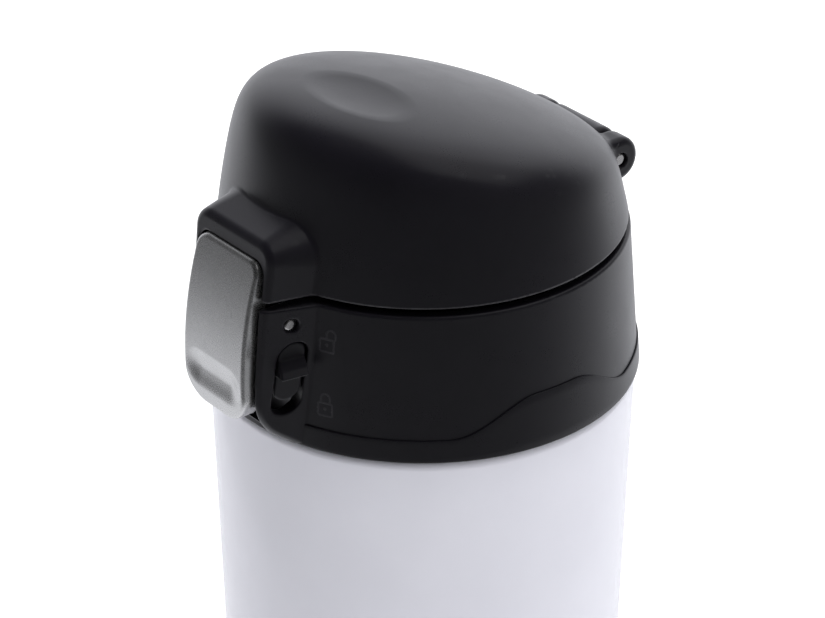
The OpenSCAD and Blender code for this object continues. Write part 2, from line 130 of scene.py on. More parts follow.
# Hinge, and the pins with their holes
KNUCKLE_R = 3.9
KNUCKLE_W = 6.5
EAR_IN = 6.8
EAR_OUT = 11.5
RUN_GAP = 0.35  # room between the middle knuckle and the lid
WEB_TOP = 1.95  # how far below the hinge the web ends
HINGE_PIN_R = 1.1
EAR_HOLE_R = 1.16
BUTTON_PIN_R = 1.0
BUTTON_HOLE_R = 1.22

# Slider's face, from the block's front corner to its root, with a slot whose ends slope
FACE = np.array([BLOCK_FRONT[0] + 3.7 * math.tan(BLOCK_FLARE), -35.8])
SLOT_W = 2.4
KNOB_W = 2.15
SLOT_MID = 12.6
SLOT_HALF = 6.4
SLOT_LEAN = math.radians(8)
SLOT_SHEAR = 0.28


# ------------------------------------------------------------------ solids from distance fields
# A field gives the distance to a solid's surface, below zero inside. Fields take arrays x, y, z.

def join(a, b, r=0.0):
    """Both solids, with a fillet of radius r where they meet."""
    if np.ndim(r) == 0 and r == 0:
        return np.minimum(a, b)
    return np.maximum(r, np.minimum(a, b)) - np.hypot(np.maximum(r - a, 0), np.maximum(r - b, 0))


def common(a, b, r=0.0):
    """What both solids share, with its edge rounded to radius r."""
    return -join(-a, -b, r)


def carve(a, b, r=0.0):
    """Solid a without solid b, with the edge rounded to radius r."""
    return -join(-a, b, r)


def slab(v, low, high):
    """Distance to what lies between two values."""
    return np.maximum(low - v, v - high)


def rounded_box(u, v, half_u, half_v, r):
    """Distance to a rectangle about the origin with corners of radius r."""
    du = np.abs(u) - half_u + r
    dv = np.abs(v) - half_v + r
    return np.hypot(np.maximum(du, 0), np.maximum(dv, 0)) + np.minimum(np.maximum(du, dv), 0) - r


def smooth_step(v, low, high):
    """Rises smoothly from 0 at the low value to 1 at the high one."""
    t = np.clip((v - low) / (high - low), 0, 1)
    return t * t * (3 - 2 * t)


EDGE_PAIRS = [(a, a | bit) for bit in (1, 2, 4) for a in range(8) if not a & bit]


def corner(index):
    """Offset of one of a cell's eight corners."""
    return np.array([index & 1, index >> 1 & 1, index >> 2 & 1])


def net(field, low, high, cell):
    """Vertices and four-sided faces of the surface where the field is zero: one vertex a cell."""
    axes = [np.arange(low[i] - 1.5 * cell, high[i] + 2.5 * cell, cell) for i in range(3)]
    grid = np.meshgrid(*[a.astype(np.float32) for a in axes], indexing="ij", sparse=True)
    shape = tuple(len(a) for a in axes)
    values = np.broadcast_to(field(*grid), shape).astype(np.float32)
    inside = values < 0
    parts = [inside[tuple(slice(c, n - 1 + c) for c, n in zip(corner(i), shape))]
             for i in range(8)]
    count = sum(part.astype(np.uint8) for part in parts)
    active = (count > 0) & (count < 8)
    number = np.full(active.shape, -1, np.int64)
    number[active] = np.arange(active.sum())
    cells = np.argwhere(active)
    at = [values[tuple((cells + corner(i)).T)] for i in range(8)]
    total = np.zeros((len(cells), 3))
    crossings = np.zeros((len(cells), 1))
    for a, b in EDGE_PAIRS:
        crossed = ((at[a] < 0) != (at[b] < 0))[:, None]
        share = (at[a] / np.where(at[a] == at[b], 1, at[a] - at[b]))[:, None]
        total += np.where(crossed, corner(a) + share * (corner(b) - corner(a)), 0)
        crossings += crossed
    places = np.array([a[0] for a in axes]) + (cells + total / crossings) * cell
    faces = []
    for axis in range(3):
        side, up = (axis + 1) % 3, (axis + 2) % 3
        ahead = np.moveaxis(inside, axis, 0)
        edges = np.argwhere(np.moveaxis(ahead[1:] != ahead[:-1], 0, axis))
        edges = edges[(edges[:, side] > 0) & (edges[:, up] > 0)
                      & (edges[:, side] < shape[side] - 1) & (edges[:, up] < shape[up] - 1)]
        back = np.eye(3, dtype=int)
        ring = [number[tuple((edges - s * back[side] - t * back[up]).T)]
                for s, t in ((1, 1), (0, 1), (0, 0), (1, 0))]
        quads = np.stack(ring, axis=1)
        flipped = ~inside[tuple(edges.T)]
        quads[flipped] = quads[flipped][:, ::-1]
        faces.append(quads)
    return places, np.concatenate(faces)


def gradient(field, p, step=0.03):
    """The field's slope at each point."""
    slopes = []
    for axis in np.eye(3) * step:
        slopes.append(field(*(p + axis).T) - field(*(p - axis).T))
    return np.stack(slopes, axis=1) / (2 * step)


def settle(field, p, cell):
    """Moves each vertex along the field's slope on to the surface."""
    for _ in range(4):
        slope = gradient(field, p)
        length = np.maximum((slope ** 2).sum(axis=1), 0.04)
        move = -(field(*p.T) / length)[:, None] * slope
        size = np.linalg.norm(move, axis=1, keepdims=True)
        p = p + move * np.minimum(1, 0.4 * cell / np.maximum(size, 1e-9))
    return p


def new_object(name, vertices, faces):
    """A smooth mesh from vertices in millimetres above the collar's rim."""
    mesh = bpy.data.meshes.new(name)
    places = vertices * MM + np.array([0, 0, RIM_Z])
    mesh.from_pydata(places.tolist(), [], faces.tolist())
    mesh.polygons.foreach_set("use_smooth", np.ones(len(mesh.polygons), bool))
    piece = bpy.data.objects.new(name, mesh)
    bpy.context.scene.collection.objects.link(piece)
    return piece


def solid(name, field, low, high, cell, shade=None):
    """A mesh of the solid that the field describes, which may take its normals from another."""
    cell = cell * FINE
    vertices, faces = net(field, low, high, cell)
    vertices = settle(field, vertices, cell)
    piece = new_object(name, vertices, faces)
    slope = gradient(shade or field, vertices)
    normals = slope / np.maximum(np.linalg.norm(slope, axis=1, keepdims=True), 1e-9)
    piece.data.normals_split_custom_set_from_vertices(normals.tolist())
    return piece


def loft(name, rings):
    """A closed tube round the mug's axis through closed rings of points."""
    rings = np.array(rings)
    steps, n = rings.shape[:2]
    i, j = np.meshgrid(np.arange(steps), np.arange(n), indexing="ij")
    ahead, above = (i + 1) % steps, (j + 1) % n
    faces = np.stack([i * n + j, ahead * n + j, ahead * n + above, i * n + above], axis=-1)
    return new_object(name, rings.reshape(-1, 3), faces.reshape(-1, 4))


def revolve(name, outline, steps=192):
    """A closed outline of (radius, z) points turned about the mug's axis."""
    turns = np.arange(steps) * 2 * math.pi / steps
    return loft(name, [[(r * math.cos(a), r * math.sin(a), z) for r, z in outline] for a in turns])


def arc(centre, r, start, end, steps=8):
    """Points along an arc between two angles in degrees."""
    return [(centre[0] + r * math.cos(math.radians(start + (end - start) * i / steps)),
             centre[1] + r * math.sin(math.radians(start + (end - start) * i / steps)))
            for i in range(steps + 1)]


# ------------------------------------------------------------------ shapes of the lid

def dome_top(x, y, middle):
    """Height of a sloping, crowned top whose middle is at the given height."""
    return middle - DOME_SLOPE * y - DOME_CROWN[0] * x * x - DOME_CROWN[1] * y * y


def dome(x, y, z, inset=0.0):
    """The dome without its lower end: a wall and a sloping top joined by a squarish curve."""
    h = z - LID_Z
    r = LID_R - inset - LID_DRAFT * h - LID_SWELL * h * h
    top = np.maximum(dome_top(x, y, DOME_Z - inset - LID_Z), 2.0)
    c = np.hypot(x, y + LID_LEAN * h) / r
    t = np.maximum(h, 0) / top
    n = DOME_SQUARENESS
    w = np.maximum((c ** n + t ** n) ** (1 / n), 0.02)
    steep = np.hypot((c / w) ** (n - 1) / r, 1.04 * (t / w) ** (n - 1) / top)
    return (w - 1) / np.maximum(steep, 0.01)


def hood(x, y, z):
    """The hood over the button: flat sides and top that widen and rise towards the dome."""
    behind = y - HOOD_Y
    side = (np.abs(x) - HOOD_HALF - behind * math.tan(HOOD_FLARE)) * math.cos(HOOD_FLARE)
    top = (z - HOOD_TOP - behind * math.tan(HOOD_RISE)) * math.cos(HOOD_RISE)
    front = (HOOD_FRONT - y + (z - LID_Z) * math.tan(HOOD_LEAN)) * math.cos(HOOD_LEAN)
    edge_r = np.clip(3 + 0.43 * behind, 2.8, 6)
    body = common(side, top, edge_r)
    inside_dome = y + 24
    return np.maximum(common(body, front, 1.0), inside_dome)


def dimple(x, y, z):
    """The shallow elliptical dimple in the dome's top."""
    share = (x / DIMPLE_HALF[0]) ** 2 + ((y - DIMPLE_Y) / DIMPLE_HALF[1]) ** 2
    return dome_top(x, y, DOME_Z) - DIMPLE_DEEP * (1 - share) - z


def ears(x, y, z):
    """The lid's two hinge ears, each a round knuckle whose flat top runs on into the dome."""
    back = y - HINGE[1]
    up = z - HINGE[2]
    web = np.maximum(slab(back, -6, 0), slab(up, -1, KNUCKLE_R))
    side = slab(np.abs(x), EAR_IN, EAR_OUT)
    return common(np.minimum(np.hypot(back, up) - KNUCKLE_R, web), side, 1.2)


def lid_field(x, y, z):
    """The lid's shell: dome, hood and ears, hollow, with its window, bores and catch."""
    outer = join(dome(x, y, z), hood(x, y, z), 0.4)
    outer = carve(outer, dimple(x, y, z), 0.2)
    outer = common(outer, LID_Z - z, 0.4)
    outer = join(outer, ears(x, y, z), 1.7)
    shell = carve(outer, np.maximum(dome(x, y, z, LID_WALL), LID_Z - 3 - z), 0.3)
    window = rounded_box(x, z - WINDOW_Z, *WINDOW_HALF, WINDOW_R)
    shell = carve(shell, np.maximum(window, y - WINDOW_BACK), 0.35)
    from_axis = np.hypot(y - HINGE[1], z - HINGE[2])
    middle = from_axis - KNUCKLE_R - RUN_GAP
    shell = carve(shell, np.maximum(middle, np.abs(x) - EAR_IN), 0.0)
    over_collar = np.maximum(slab(x, -20, 20), np.maximum(z - LID_Z + 0.5, 29 - y))
    shell = carve(shell, over_collar + FAR * (np.abs(x) > EAR_OUT + 0.2), 0.0)
    bore = from_axis - EAR_HOLE_R
    rim = np.maximum(bore - 0.15, EAR_OUT - 0.7 - np.abs(x))
    shell = carve(shell, np.minimum(bore, rim), 0.15)
    catch = np.maximum(slab(x, -4, 4), np.maximum(slab(y, -35.4, -34.3), slab(z, 26.7, 28.0)))
    return np.minimum(shell, catch)


def lid_shell():
    """The lid's mesh."""
    low, high = node_box("lid_shell")
    return solid("lid_shell_skin", lid_field, low, high, 0.34)


# ------------------------------------------------------------------ shapes of the collar

def skirt_top(x, y):
    """Height of the skirt's edge: a hump at each side, and low under the button."""
    turn = np.degrees(np.arctan2(y, np.abs(x))) + 2
    edge = 3.9 + 5.6 * smooth_step(-np.abs(turn), -30, -6)
    return 1.4 + (edge - 1.4) * smooth_step(turn, -73.5, -70)


def collar_wall(x, y, z):
    """The collar's outer face above the skirt: a slight cone."""
    return np.hypot(x, y) - (COLLAR_R - COLLAR_DRAFT * z)


def skirt():
    """The skirt round the collar, which stands proud below a wavy edge with a crease over it."""
    outline = [(-0.5, 0.3), (-0.25, 0.0), (SKIRT_PROUD - 0.25, 0.0)]
    low = arc((SKIRT_PROUD - 0.25, 0.25), 0.25, -90, 0, 4)
    high = arc((SKIRT_PROUD - 0.13, -0.13), 0.13, 0, 140, 5) + [(-0.15, -0.45), (-0.5, -0.45)]
    between = 6
    steps = 360
    rings = []
    for i in range(steps):
        a = 2 * math.pi * i / steps
        top = float(skirt_top(math.cos(a), math.sin(a)))
        ring = [(r, z) for r, z in outline + low[1:]]
        ring += [(SKIRT_PROUD, 0.25 + (top - 0.38) * k / between) for k in range(1, between)]
        ring += [(r, top + z) for r, z in high]
        ring = [(COLLAR_R - COLLAR_DRAFT * z + r, z) for r, z in ring]
        rings.append([(r * math.cos(a), r * math.sin(a), z) for r, z in ring])
    return loft("skirt_skin", rings)


def block(x, y, z):
    """The block in front of the collar that the button and the slider sit in."""
    side = (np.abs(x) - BLOCK_FRONT[0] - (y - BLOCK_FRONT[1]) * math.tan(BLOCK_FLARE)) \
        * math.cos(BLOCK_FLARE)
    front = -np.interp(z, *BLOCK_FACE) - y
    under = (0.15 - z) * math.cos(BLOCK_UNDERCUT) - (y + 34.8) * math.sin(BLOCK_UNDERCUT)
    body = common(side, common(front, under, 3.5), 1.0)
    return np.maximum(body, np.maximum(0.4 - z, y - BLOCK_BACK))


def web_back(y, z, lean):
    """Back face of what holds a knuckle up, leaning back from below the hinge."""
    return (y - HINGE[1] - 1.2) * math.cos(lean) - (z - HINGE[2] + 5.7) * math.sin(lean)


def knuckle(x, y, z):
    """The collar's middle knuckle, on a web from the collar's rim that meets it at a tangent."""
    barrel = np.hypot(y - HINGE[1], z - HINGE[2]) - KNUCKLE_R
    back = web_back(y, z, math.radians(30))
    web = np.maximum(np.maximum(back, HINGE[1] - 3.0 - y),
                     np.maximum(z - HINGE[2] + WEB_TOP, 21 - z))
    return common(np.minimum(barrel, web), np.abs(x) - KNUCKLE_W, 1.2)


def gusset(x, y, z):
    """The ledge that the web stands on."""
    return np.maximum(np.maximum(web_back(y, z, math.radians(33)), HINGE[1] - 1 - y),
                      np.maximum(slab(z, 19, HINGE[2] - 4.3), np.abs(x) - KNUCKLE_W - 0.6))


def at_face(x, y, z):
    """Places seen from the slider's face: out of it, across the slot and up the slot."""
    out = (x - FACE[0]) * math.cos(BLOCK_FLARE) - (y - FACE[1]) * math.sin(BLOCK_FLARE)
    along = (x - FACE[0]) * math.sin(BLOCK_FLARE) + (y - FACE[1]) * math.cos(BLOCK_FLARE)
    up = z - SLOT_MID
    return (out, along * math.cos(SLOT_LEAN) - up * math.sin(SLOT_LEAN),
            along * math.sin(SLOT_LEAN) + up * math.cos(SLOT_LEAN))


def collar_field(x, y, z):
    """The collar: wall, block and knuckle, hollow, with its pocket, slot, bores and back wall."""
    wall = common(collar_wall(x, y, z), -z, 0.35)
    body = join(wall, block(x, y, z), 0.25)
    body = common(body, z - COLLAR_H, 0.45)
    rear = join(knuckle(x, y, z), gusset(x, y, z), 0.4)
    body = join(body, rear, 0.6)
    r = np.hypot(x, y)
    hollow = np.maximum(r - SKIRT_BORE, z - DECK_Z + 1)
    hollow = np.minimum(hollow, np.maximum(r - LEDGE_BORE, z - DECK_Z - 1))
    well = np.maximum(r - WELL_R, DECK_Z - z)
    hollow = np.minimum(hollow, np.maximum(well, -knuckle(x, y, z)))
    body = carve(body, hollow, 0.3)
    pocket = np.maximum(rounded_box(x, z - 21.5, POCKET_W, 20, 1.2), y - POCKET_BACK)
    body = carve(body, pocket, 0.4)
    out, along, up = at_face(x, y, z)
    right = np.where(x > 0, 0.0, FAR)
    slope = up - SLOT_SHEAR * along
    slot = np.maximum(rounded_box(along, slope, SLOT_W, SLOT_HALF, SLOT_W), -3.3 - out) + right
    inner = rounded_box(along + 0.75, up + 0.35, 2.45, 5.75, 0.3)
    inner = np.maximum(inner, slab(out, -5, -3)) + right
    body = carve(body, slot, 0.25)
    body = carve(body, inner, 0.0)
    pin_hole = np.hypot(y - PIVOT[1], z - PIVOT[2]) - BUTTON_HOLE_R
    body = carve(body, np.maximum(pin_hole, 10.6 - np.abs(x)), 0.2)
    from_axis = np.hypot(y - HINGE[1], z - HINGE[2])
    spring_room = np.maximum(from_axis - 2.6, slab(x, -KNUCKLE_W - 1, 1.5))
    body = carve(body, np.minimum(from_axis - HINGE_PIN_R, spring_room), 0.0)
    back_wall = np.maximum(slab(y, POCKET_BACK, POCKET_BACK + 1.4), slab(x, -11, 11))
    back_wall = np.maximum(np.maximum(back_wall, slab(z, POCKET_FLOOR - 1, COLLAR_H)),
                           -np.maximum(r - 31.25, z - DECK_Z))
    back_wall = carve(back_wall, np.minimum(inner, slot), 0.0)
    return np.minimum(body, back_wall)


def collar_shell():
    """The collar as a coarser round mesh and a finer block mesh, which overlap a little."""
    low, high = node_box("collar_shell")
    half = math.sqrt(high[0] ** 2 - SPLIT_Y ** 2) + 0.5
    front = np.array([-half, low[1], low[2]]), np.array([half, SPLIT_Y, COLLAR_H])
    round_low = np.array([low[0], SPLIT_Y - SPLIT_OVERLAP, low[2]])

    def round_part(x, y, z):
        return np.maximum(collar_field(x, y, z), SPLIT_Y - SPLIT_OVERLAP - y)

    def block_part(x, y, z):
        return np.maximum(collar_field(x, y, z), y - SPLIT_Y)

    return (solid("collar_skin", round_part, round_low, high, 0.34, collar_field),
            solid("collar_block", block_part, *front, 0.2, collar_field))


# ------------------------------------------------------------------ button and slider

BULGE = (-42.7, 10.8)  # y and z of the button's foremost point
ARC_UP = 64.0
ARC_LOW = 45.0
CAP = (7.9, 4.2, 32.5)  # half width, lowest and highest z
CAP_T = 1.3
CAP_BACK = -35.9
CHIN_R = 5.3
BROW_R = 2.4
GROOVE = (3.8, 3.9, 10.4, 4.6)  # half length, how far in front, z and radius


def button_face(y, z):
    """Distance behind the button's front, which two arcs make."""
    upper = np.hypot(y - BULGE[0] - ARC_UP, z - BULGE[1]) - ARC_UP
    lower = np.hypot(y - BULGE[0] - ARC_LOW, z - BULGE[1]) - ARC_LOW
    return np.where(z > BULGE[1], upper, lower)


def cap_front(x, z, inset):
    """Front view of the button: its lower corners are rounder than its upper ones."""
    middle = (CAP[1] + CAP[2]) / 2
    half = (CAP[2] - CAP[1]) / 2
    r = np.where(z < middle, CHIN_R, BROW_R)
    return rounded_box(x, z - middle, CAP[0] - inset, half - inset, r - inset)


def cap_field(x, y, z):
    """The silver cap: a curved plate with a rim behind it and a groove for the finger."""
    face = button_face(y, z)
    body = common(face, cap_front(x, z, 0.0), 0.6)
    body = common(body, -face - CAP_T - 2, 0.2)
    body = carve(body, np.maximum(face + CAP_T, cap_front(x, z, 1.0)), 0.2)
    body = np.maximum(body, y - CAP_BACK)
    half, ahead, height, r = GROOVE
    reach = np.maximum(np.abs(x) - half, 0)
    groove = np.sqrt(reach ** 2 + (y - BULGE[0] + ahead) ** 2 + (z - height) ** 2) - r
    return carve(body, groove, 0.8)


def button_cap():
    """The cap's mesh, which stands a little outside the CAD node's box."""
    low, high = node_box("button_cap")
    return solid("button_cap_skin", cap_field, low - 1, high + 1, 0.2)


def knob_field(x, y, z):
    """The slider: a pad, and a hollow thumb ramp that rises to a ledge over an undercut."""
    out, along, up = at_face(x, y, z)
    up = up - SLOT_SHEAR * along
    outline = rounded_box(along, up - 1.05, KNOB_W, 5.15, KNOB_W)
    pad = common(outline, out + 0.45, 0.4)
    ramp = 4.65 - np.hypot(out - 5.2, up - 5.95)
    tilt = math.radians(72)
    brow = (out - 2.85) * math.cos(tilt) + (up - 2.3) * math.sin(tilt)
    ledge = 1.15 - up + 0.25 * (out - 1)
    nose = common(common(common(out - 2.85, brow, 0.12), ramp, 0.1), ledge, 0.2)
    nose = np.maximum(nose, up - 6.0)
    nose = common(nose, outline, 0.35)
    return np.maximum(join(pad, nose, 0.3), -2.2 - out)


def lock_knob():
    """The slider's mesh."""
    low, high = node_box("lock_knob")
    return solid("slider_knob", knob_field, low - 0.8, high + 0.8, 0.13)


SIGN_TURN = math.atan2(-32.17, 15.1)  # where on the collar the signs are
SIGN_R = 35.4


def padlock(x, y, z, centre_z, open_side):
    """A generic padlock sign in thin raised lines on the collar's face."""
    along = (np.arctan2(y, x) - SIGN_TURN) * SIGN_R
    up = z - centre_z
    line = 0.2
    case = np.abs(rounded_box(along, up + 0.9, 1.25, 1.1, 0.3)) - line
    shift = 0.75 * open_side
    ring = np.abs(np.hypot(along - shift, np.maximum(up - 1.0, 0)) - 0.8) - line
    shackle = np.maximum(ring, 0.2 - up)
    keyhole = np.hypot(along, up + 0.8) - 0.3
    sign = np.minimum(np.minimum(case, shackle), keyhole)
    skin = collar_wall(x, y, z)
    return np.maximum(sign, np.maximum(skin - 0.02, -0.25 - skin))


def padlock_sign(name, centre_z, open_side):
    """A sign's mesh."""
    low = np.array([12.5, -34.5, centre_z - 2.8])
    high = np.array([18.5, -29.5, centre_z + 2.8])
    return solid(name, lambda x, y, z: padlock(x, y, z, centre_z, open_side), low, high, 0.09)


# ------------------------------------------------------------------ pins, springs and the body

def pin(name, node, centre, r):
    """A steel pin with rounded ends, as long as its CAD node."""
    low, high = node_box(node)
    half = high[0]

    def field(x, y, z):
        round_face = np.hypot(y - centre[1], z - centre[2]) - r
        return common(round_face, np.abs(x) - half, 0.3)

    return solid(name, field, low, high, 0.12)


def coil(name, start, direction, r, wire, length, turns):
    """A mesh of a wire coil from start along a direction."""
    curve = bpy.data.curves.new(name, "CURVE")
    curve.dimensions = "3D"
    curve.bevel_depth = wire * MM
    curve.bevel_resolution = 4
    curve.use_fill_caps = True
    steps = 24
    n = int(turns * steps)
    spline = curve.splines.new("POLY")
    spline.points.add(n)
    along = Vector(direction)
    side = along.orthogonal().normalized()
    other = along.cross(side)
    for i in range(n + 1):
        a = 2 * math.pi * i / steps
        place = Vector(start) + along * (wire + (length - 2 * wire) * i / n) \
            + side * (r * math.cos(a)) + other * (r * math.sin(a))
        spline.points[i].co = (place.x * MM, place.y * MM, place.z * MM + RIM_Z, 1)
    drawn = bpy.data.objects.new(name + "_curve", curve)
    bpy.context.scene.collection.objects.link(drawn)
    mesh = bpy.data.meshes.new_from_object(drawn)
    bpy.data.objects.remove(drawn)
    piece = bpy.data.objects.new(name, mesh)
    bpy.context.scene.collection.objects.link(piece)
    return piece


def body_skin():
    """The painted steel body, with its rounded foot, shoulder and neck."""
    foot = -RIM_Z / MM + 1.0
    r_top, r_base, neck, wall = 35.4, 32.5, 30.9, 0.6
    top = 14.0 - wall
    outline = [(27.0, foot)]
    outline += arc((r_base - 3.6, foot + 3.6), 3.6, -90, 0, 16)
    outline += arc((r_top - 1.5, -1.9), 1.5, 0, 90, 8)
    outline += arc((neck + 1, 0.6), 1.0, -90, -180, 6)
    outline += [(neck, top), (neck - wall, top), (neck - wall, 0.4), (neck + 0.8, -1.0)]
    outline += arc((r_top - 1.5, -1.9), 1.5 - wall, 90, 0, 6)
    outline += arc((r_base - 3.6, foot + 3.6), 3.6 - wall, 0, -90, 12)
    outline += [(27.0, foot + wall)]
    return revolve("body_skin", outline)


def foot_skin():
    """The silicone foot, with rounded edges and a ring groove under it."""
    z = -RIM_Z / MM
    outline = [(0.01, z), (19.0, z), (19.2, z + 0.4), (20.0, z + 0.5), (20.8, z + 0.4), (21.0, z)]
    outline += arc((28.5, z + 0.3), 0.3, -90, 0, 4)
    outline += arc((28.5, z + 0.7), 0.3, 0, 90, 4)
    outline += [(0.01, z + 1.0)]
    return revolve("foot_skin", outline, 128)


# ------------------------------------------------------------------ materials

def node(tree, kind, **values):
    """A new shader node with some of its settings."""
    made = tree.nodes.new(kind)
    for key, value in values.items():
        setattr(made, key, value)
    return made


def noise(tree, coordinates, scale, detail=3.0, stretch=None):
    """A noise texture on object coordinates, stretched along an axis if asked."""
    source = coordinates
    if stretch:
        mapping = node(tree, "ShaderNodeMapping")
        mapping.inputs["Scale"].default_value = stretch
        tree.links.new(coordinates, mapping.inputs["Vector"])
        source = mapping.outputs["Vector"]
    made = node(tree, "ShaderNodeTexNoise")
    made.inputs["Scale"].default_value = scale
    made.inputs["Detail"].default_value = detail
    tree.links.new(source, made.inputs["Vector"])
    return made.outputs["Fac"]


def map_range(tree, value, low, high, to_low, to_high, curve="LINEAR"):
    """A value carried from one range to another, and held at its ends."""
    made = node(tree, "ShaderNodeMapRange", interpolation_type=curve)
    made.clamp = True
    for key, number in (("From Min", low), ("From Max", high),
                        ("To Min", to_low), ("To Max", to_high)):
        made.inputs[key].default_value = number
    tree.links.new(value, made.inputs["Value"])
    return made.outputs["Result"]


def combine(tree, operation, a, b):
    """The sum or the product of two values."""
    made = node(tree, "ShaderNodeMath", operation=operation)
    tree.links.new(a, made.inputs[0])
    tree.links.new(b, made.inputs[1])
    return made.outputs[0]


def mix_colour(tree, share, a, b):
    """A colour between two colours or colour outputs."""
    made = node(tree, "ShaderNodeMix", data_type="RGBA")
    tree.links.new(share, made.inputs["Factor"])
    for socket, colour in (("A", a), ("B", b)):
        target = next(s for s in made.inputs if s.name == socket and s.type == "RGBA")
        if hasattr(colour, "node"):
            tree.links.new(colour, target)
        else:
            target.default_value = (*colour, 1)
    return next(s for s in made.outputs if s.type == "RGBA")


def material(name, dark, light, rough, grain_mm, bump, metallic=0.0, worn=None, wear=0.5,
             stretch=None, **sockets):
    """A finish: colour that varies, grain in roughness and bump, and edges that are rubbed."""
    made = bpy.data.materials.new(name)
    made.use_nodes = True
    tree = made.node_tree
    shader = tree.nodes["Principled BSDF"]
    place = node(tree, "ShaderNodeTexCoord").outputs["Object"]
    cloud = noise(tree, place, 60, 4)
    grain = noise(tree, place, 1 / (grain_mm * MM), 3, stretch)
    colour = mix_colour(tree, map_range(tree, cloud, 0.3, 0.7, 0, 1), dark, light)
    point = node(tree, "ShaderNodeNewGeometry").outputs["Pointiness"]
    edge = map_range(tree, point, 0.52, 0.62, 0, wear)
    patches = map_range(tree, noise(tree, place, 900, 2), 0.4, 0.6, 0.3, 1)
    colour = mix_colour(tree, combine(tree, "MULTIPLY", edge, patches), colour, worn or light)
    tree.links.new(colour, shader.inputs["Base Color"])
    smear = map_range(tree, noise(tree, place, 150, 3), 0.3, 0.7, -0.02, 0.02)
    grit = map_range(tree, grain, 0.3, 0.7, *rough)
    tree.links.new(combine(tree, "ADD", grit, smear), shader.inputs["Roughness"])
    relief = node(tree, "ShaderNodeBump")
    relief.inputs["Strength"].default_value = bump
    relief.inputs["Distance"].default_value = 0.05 * MM
    tree.links.new(grain, relief.inputs["Height"])
    tree.links.new(relief.outputs["Normal"], shader.inputs["Normal"])
    shader.inputs["Metallic"].default_value = metallic
    for key, value in sockets.items():
        shader.inputs[key.replace("_", " ")].default_value = value
    return made


BLACK = material("black_satin_plastic", (0.0072, 0.0066, 0.0092), (0.0090, 0.0083, 0.0114),
                 (0.28, 0.34), 0.16, 0.2, worn=(0.03, 0.03, 0.032), wear=0.35,
                 Specular_IOR_Level=0.5)
INNER = material("inner_plastic_grain", (0.010, 0.010, 0.011), (0.014, 0.014, 0.015),
                 (0.42, 0.52), 0.2, 0.25, worn=(0.03, 0.03, 0.03), wear=0.3)
GLOSS = material("slider_plastic", (0.008, 0.0075, 0.010), (0.011, 0.0105, 0.013),
                 (0.3, 0.38), 0.12, 0.2, worn=(0.03, 0.03, 0.03), wear=0.3)
SILVER = material("satin_silver", (0.54, 0.54, 0.535), (0.57, 0.57, 0.565),
                  (0.24, 0.30), 0.10, 0.25, metallic=0.95, worn=(0.75, 0.75, 0.74), wear=0.2)
WHITE = material("white_enamel", (0.80, 0.80, 0.88), (0.83, 0.83, 0.91),
                 (0.16, 0.22), 0.9, 0.12, worn=(0.88, 0.88, 0.9), wear=0.3, Coat_Weight=0.3)
STEEL = material("brushed_steel", (0.52, 0.51, 0.50), (0.62, 0.61, 0.60),
                 (0.22, 0.38), 0.25, 0.3, metallic=1.0, worn=(0.75, 0.74, 0.73), stretch=(1, 1, 8))
WIRE = material("polished_wire", (0.55, 0.54, 0.53), (0.66, 0.65, 0.64),
                (0.18, 0.3), 0.15, 0.2, metallic=1.0, worn=(0.8, 0.8, 0.8))
SEAL = material("clear_silicone", (0.62, 0.62, 0.60), (0.70, 0.70, 0.68),
                (0.38, 0.5), 0.3, 0.2, worn=(0.78, 0.78, 0.76), wear=0.3, Subsurface_Weight=0.15)
FOOT = material("foot_silicone_grey", (0.16, 0.16, 0.165), (0.2, 0.2, 0.205),
                (0.5, 0.62), 0.25, 0.3, worn=(0.26, 0.26, 0.26), wear=0.3)
SIGN = material("sign_lines", (0.018, 0.017, 0.021), (0.023, 0.022, 0.027),
                (0.3, 0.38), 0.1, 0.1, worn=(0.03, 0.03, 0.03), wear=0.3)


def finish(piece, look, body, slot, *nodes):
    """Gives a new piece its finish and its body, and hides the CAD nodes that it stands for."""
    piece.data.materials.clear()
    piece.data.materials.append(look)
    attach(piece, body)
    if nodes:
        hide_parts(*nodes)


def keep(look, *nodes):
    """Gives CAD nodes that stay a finish."""
    for name in nodes:
        holder = frame["nodes"][name]
        if not holder.material_slots:
            holder.data.materials.append(look)
        for material_slot in holder.material_slots:
            material_slot.material = look


# ------------------------------------------------------------------ pieces

finish(body_skin(), WHITE, "flask", "white_paint", "outer_shell")
finish(foot_skin(), FOOT, "flask", "foot_silicone", "foot_pad")
for part in collar_shell():
    finish(part, BLACK, "lid_base", "black_plastic", "collar_shell")
finish(skirt(), BLACK, "lid_base", "black_plastic")
finish(lid_shell(), BLACK, "flip_lid", "black_plastic", "lid_shell")
finish(button_cap(), SILVER, "release_button", "silver_button", "button_cap")
finish(lock_knob(), GLOSS, "lock_slider", "gloss_black", "lock_knob")
finish(padlock_sign("sign_open", 19.4, 1), SIGN, "lid_base", "black_plastic")
finish(padlock_sign("sign_closed", 8.3, 0), SIGN, "lid_base", "black_plastic")
finish(pin("hinge_pin_skin", "hinge_pin", HINGE, HINGE_PIN_R),
       WIRE, "lid_base", "steel", "hinge_pin")
finish(pin("button_pin_skin", "button_pin", PIVOT, BUTTON_PIN_R),
       WIRE, "lid_base", "steel", "button_pin")
finish(coil("hinge_coil", (-6.2, HINGE[1], HINGE[2]), (1, 0, 0), 1.9, 0.35, 7.4, 7),
       WIRE, "lid_base", "steel", "hinge_spring")
button_coil = coil("button_coil", (0, POCKET_BACK - 0.05, 8), (0, -1, 0), 2.0, 0.35, 4.6, 4)
finish(button_coil, WIRE, "lid_base", "steel", "button_spring")
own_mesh(button_coil)
keep(STEEL, "inner_liner", "outer_bottom", "base_plate", "vacuum_plug", "getter_pellet")
keep(INNER, "screw_insert", "lid_liner", "seal_retainer", "button_lever", "lock_bar")
keep(BLACK, "mouthpiece")
